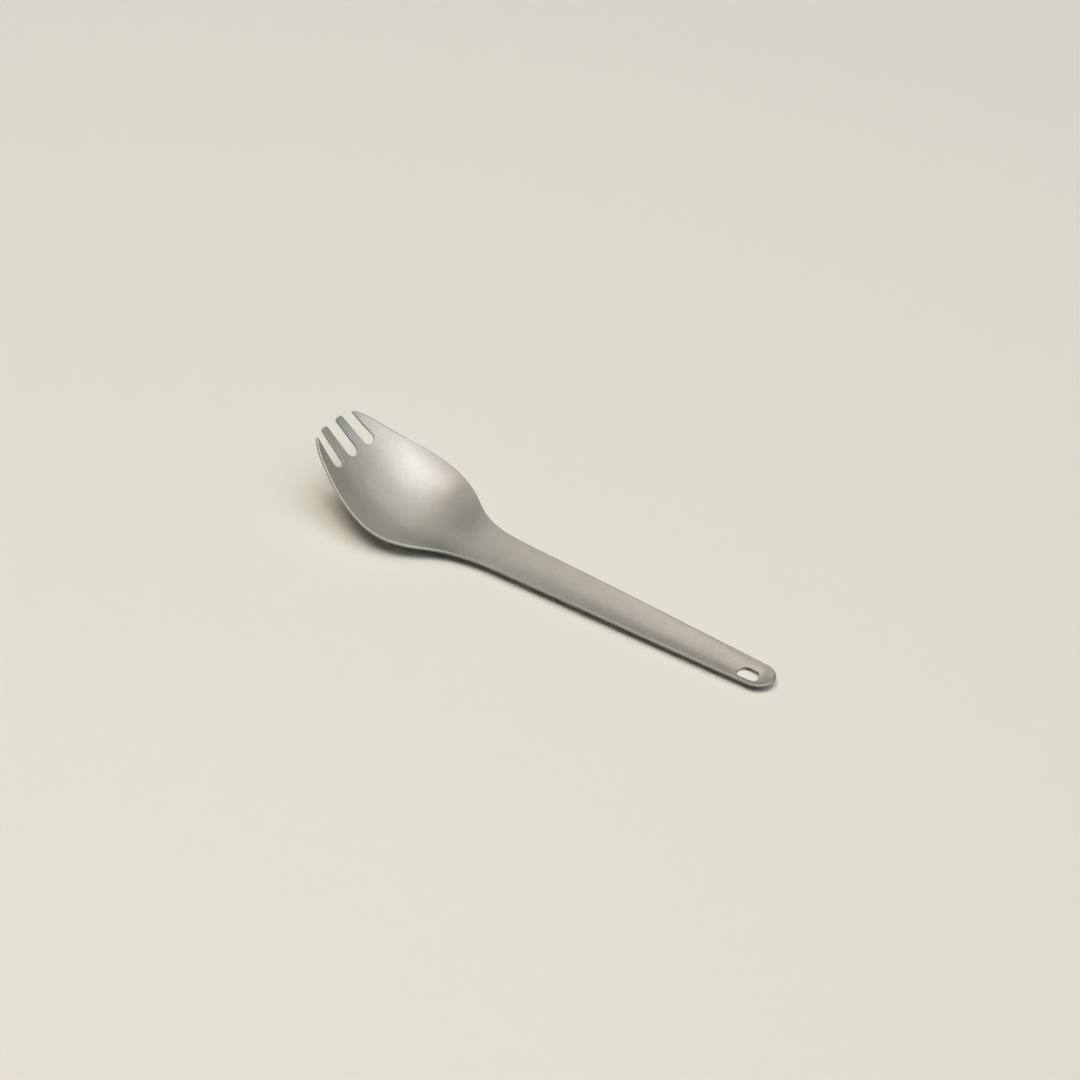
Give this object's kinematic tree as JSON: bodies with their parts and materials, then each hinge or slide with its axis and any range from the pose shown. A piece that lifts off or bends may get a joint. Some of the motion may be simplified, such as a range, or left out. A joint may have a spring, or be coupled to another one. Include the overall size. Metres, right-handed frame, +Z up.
{
  "type": "spork",
  "caption": "Spoon and fork in one: a long handle with a shallow trough and a hanging slot, and a deep oval bowl that rises into short tines.",
  "frame": {"origin": "on the table that the spork lies on, under the middle of its length and of its width", "axes": "+X from the end of the handle towards the tine tips, +Y across the spork, +Z up, out of the bowl's open side"},
  "size_m": [0.1653, 0.0408, 0.0235],
  "materials": {
    "titanium": "bare titanium, bead-blasted to an even matt grey with fine grain"
  },
  "bodies": {
    "root": {"spork": "titanium"}
  },
  "joints": []
}
